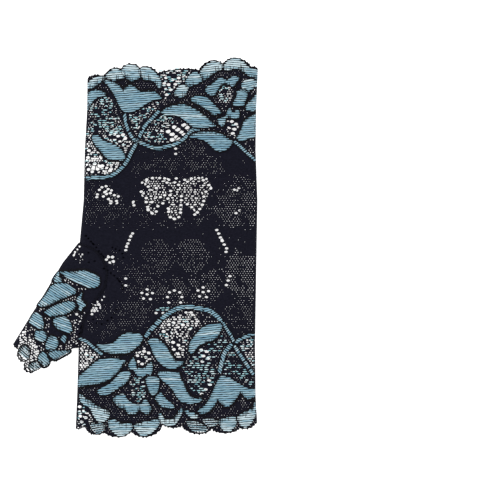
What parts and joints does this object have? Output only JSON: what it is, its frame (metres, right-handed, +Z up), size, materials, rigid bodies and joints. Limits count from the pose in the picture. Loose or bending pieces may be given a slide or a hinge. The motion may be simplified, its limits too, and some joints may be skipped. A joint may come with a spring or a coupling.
{
  "type": "fingerless lace glove",
  "caption": "Left fingerless lace mitt lying flat: stretch galloon tube with blue satin flowers on navy-black net, scalloped cuff and finger edges, short thumb.",
  "frame": {"origin": "middle of the base, on the surface that the glove lies on", "axes": "+Y from the finger edge to the cuff, +Z up out of the surface, +X away from the thumb"},
  "size_m": [0.1352, 0.21, 0.0092],
  "materials": {
    "black_lace": "matte knitted nylon net, navy black",
    "blue_satin": "ribbed satin weft, pale steel blue",
    "black_cord": "matte outline cord",
    "seam_thread": "overlocked black thread"
  },
  "bodies": {
    "root": {"hand_lace": "black_lace", "thumb_lace": "black_lace", "side_seam": "seam_thread", "thumb_seam": "seam_thread", "cuff_edge_cord": "black_cord", "finger_edge_cord": "black_cord", "thumb_edge_cord": "black_cord", "cuff_fold_leaf": "blue_satin", "cuff_fan_petal": "blue_satin", "cuff_long_leaf": "blue_satin", "cuff_lower_leaf": "blue_satin", "cuff_upper_leaf": "blue_satin", "cuff_flower_petal": "blue_satin", "cuff_block_petal": "blue_satin", "cuff_low_right_leaf": "blue_satin", "cuff_trefoil": "blue_satin", "cuff_low_left_leaf": "blue_satin", "cuff_arch_petal_1": "blue_satin", "cuff_arch_petal_2": "blue_satin", "cuff_arch_petal_3": "blue_satin", "cuff_arch_petal_4": "blue_satin", "cuff_arch_petal_5": "blue_satin", "cuff_arch_petal_6": "blue_satin", "cuff_arch_petal_7": "blue_satin", "finger_strip_leaf": "blue_satin", "finger_arch_leaf": "blue_satin", "finger_big_left_leaf": "blue_satin", "finger_second_left_leaf": "blue_satin", "finger_left_fan": "blue_satin", "finger_trefoil": "blue_satin", "finger_block_petal": "blue_satin", "finger_small_leaf": "blue_satin", "finger_centre_leaf": "blue_satin", "finger_low_centre_leaf": "blue_satin", "finger_right_leaf": "blue_satin", "finger_right_fan": "blue_satin", "finger_scallop_petal_1": "blue_satin", "finger_scallop_petal_2": "blue_satin", "finger_scallop_petal_3": "blue_satin", "finger_scallop_petal_4": "blue_satin", "finger_scallop_petal_5": "blue_satin", "finger_scallop_petal_6": "blue_satin", "finger_scallop_petal_7": "blue_satin", "finger_scallop_petal_8": "blue_satin", "thumb_top_petal": "blue_satin", "thumb_outer_leaf": "blue_satin", "thumb_middle_leaf": "blue_satin", "thumb_inner_petal": "blue_satin", "thumb_outer_petal": "blue_satin", "thumb_low_petal": "blue_satin", "cuff_vine": "blue_satin", "cuff_side_vine": "blue_satin", "finger_vine": "blue_satin"}
  },
  "joints": []
}
